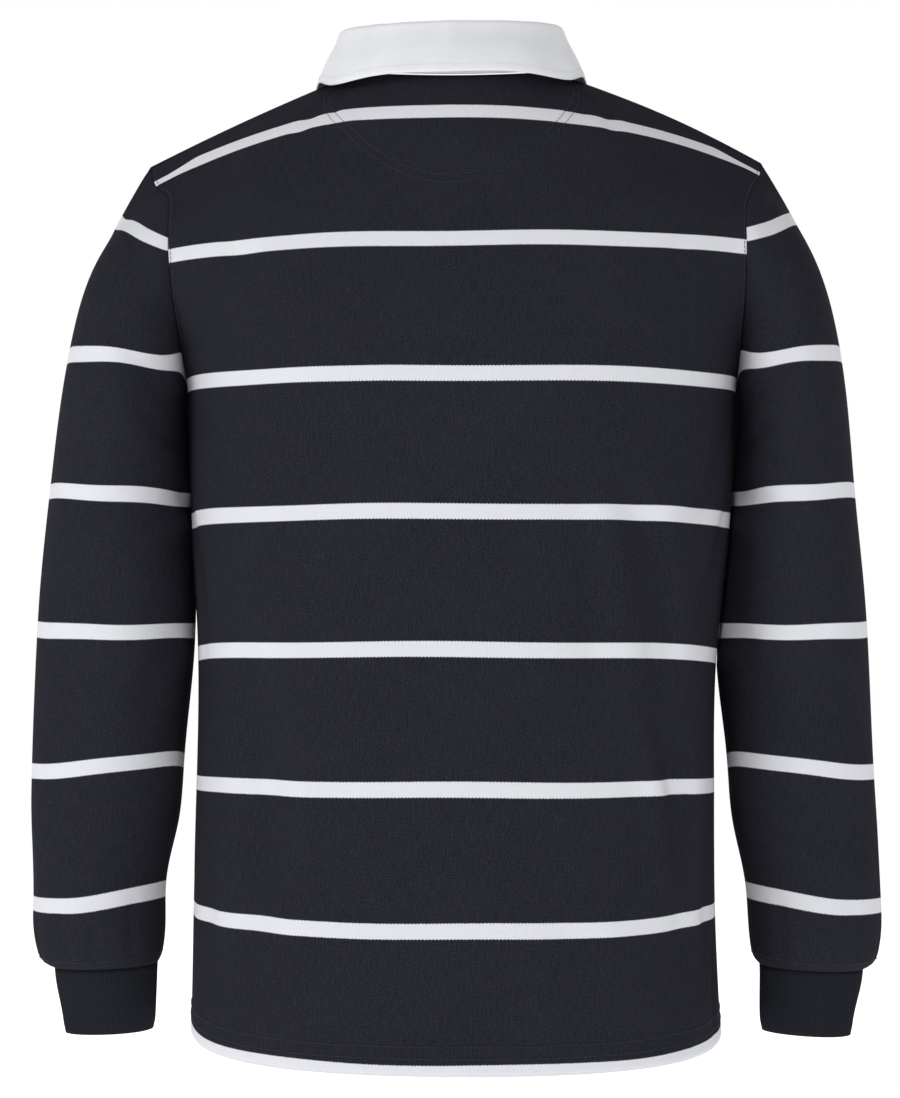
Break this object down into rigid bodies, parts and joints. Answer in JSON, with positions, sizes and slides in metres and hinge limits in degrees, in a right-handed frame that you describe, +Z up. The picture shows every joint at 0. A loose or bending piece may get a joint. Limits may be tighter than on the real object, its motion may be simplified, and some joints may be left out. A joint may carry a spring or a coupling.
{
  "type": "rugby shirt",
  "caption": "Long-sleeved rugby shirt in dark jersey with narrow light stripes, a folded twill collar, ribbed cuffs and a short buttoned neck placket, filled out as worn.",
  "frame": {"origin": "centre of the neck opening, level with the neck ends of the shoulder seams, where the wearer's shoulders hold the shirt", "axes": "+Z up the body, +Y towards the shirt's back, -Y towards its front, +X towards the wearer's left"},
  "size_m": [0.6557, 0.275, 0.7845],
  "materials": {
    "jersey": "matt heavy cotton jersey, dark navy with narrow light stripes",
    "rib": "matt cotton rib, dark navy",
    "twill": "matt white cotton twill",
    "rubber": "satin white rubber"
  },
  "bodies": {
    "root": {"back": "jersey", "front": "jersey", "sleeve_left": "jersey", "sleeve_right": "jersey", "cuff_left": "rib", "cuff_right": "rib", "collar": "twill", "neck_patch": "jersey", "placket_over": "jersey", "placket_under": "jersey", "button_1": "rubber", "button_2": "rubber", "button_3": "rubber"}
  },
  "joints": []
}
